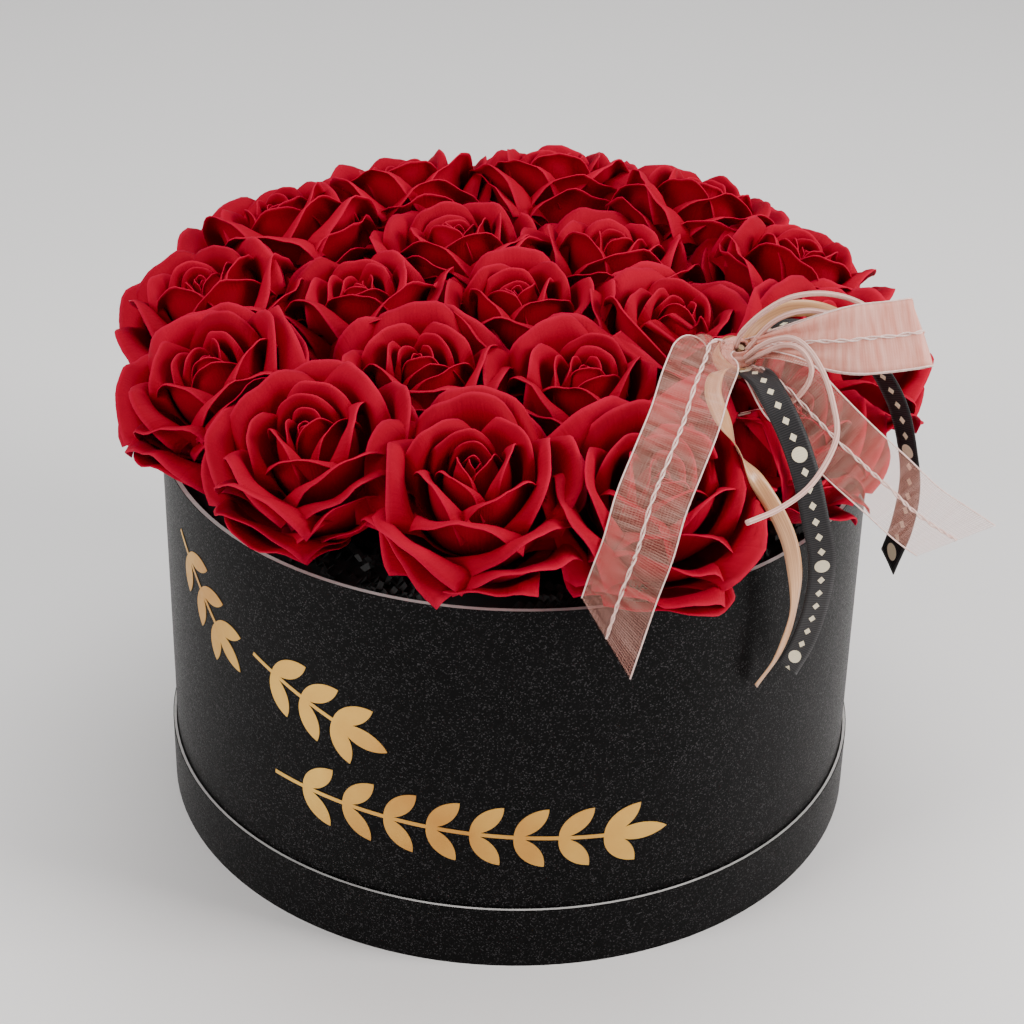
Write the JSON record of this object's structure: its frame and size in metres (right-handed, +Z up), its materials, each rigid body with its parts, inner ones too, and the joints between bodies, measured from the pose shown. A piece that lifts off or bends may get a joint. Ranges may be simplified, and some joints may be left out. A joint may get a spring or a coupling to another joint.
{
  "type": "flower box",
  "caption": "Round paperboard hat box standing in its lid, filled with a dome of red roses, with a mixed ribbon bow on a pick.",
  "frame": {"origin": "centre of the lid's resting face, on the box's axis", "axes": "+Z up along the box's axis, -Y to the front, where the gold sprigs are; +X to the right"},
  "size_m": [0.3181, 0.3006, 0.253],
  "materials": {
    "wrap_paper": "satin",
    "greyboard": "matte",
    "lining_paper": "matte",
    "gold_foil": "satin",
    "floral_foam": "matte",
    "shred_paper": "matte",
    "stem_green": "matte",
    "calyx_green": "matte",
    "petals": "matte",
    "pick_wood": "matte",
    "wire": "satin",
    "organza": "satin",
    "grosgrain": "satin",
    "satin": "gloss",
    "cord": "matte"
  },
  "bodies": {
    "lid": {"lid_facing": "wrap_paper", "lid_disc": "greyboard", "lid_rim": "greyboard", "lid_wrap": "wrap_paper"},
    "box": {"box_floor": "greyboard", "box_wall": "greyboard", "box_wrap": "wrap_paper", "box_lining": "lining_paper", "foil_sprig_upper": "gold_foil", "foil_sprig_middle": "gold_foil", "foil_garland": "gold_foil", "foam_brick_front": "floral_foam", "foam_brick_middle": "floral_foam", "foam_brick_back": "floral_foam", "paper_shred": "shred_paper", "stems": "stem_green", "calyxes": "calyx_green", "rose_01": "petals", "rose_02": "petals", "rose_03": "petals", "rose_04": "petals", "rose_05": "petals", "rose_06": "petals", "rose_07": "petals", "rose_08": "petals", "rose_09": "petals", "rose_10": "petals", "rose_11": "petals", "rose_12": "petals", "rose_13": "petals", "rose_14": "petals", "rose_15": "petals", "rose_16": "petals", "rose_17": "petals", "rose_18": "petals", "rose_19": "petals"},
    "bow": {"bow_pick": "pick_wood", "bow_knot": "organza", "binding_wire": "wire", "organza_front_tail": "organza", "organza_side_tail": "organza", "organza_loop": "organza", "grosgrain_front_tail": "grosgrain", "grosgrain_side_tail": "grosgrain", "satin_front_tail": "satin", "satin_loop": "satin", "cord_loop": "cord", "cord_tail": "cord", "cord_curl": "cord"}
  },
  "joints": [
    {"name": "box_lift", "type": "slide", "parent": "lid", "child": "box", "axis": [0, 0, 1], "range_m": [0, 0.05]},
    {"name": "bow_pull", "type": "slide", "parent": "box", "child": "bow", "axis": [0.3478, -0.3423, 0.8729], "range_m": [0, 0.1]}
  ]
}
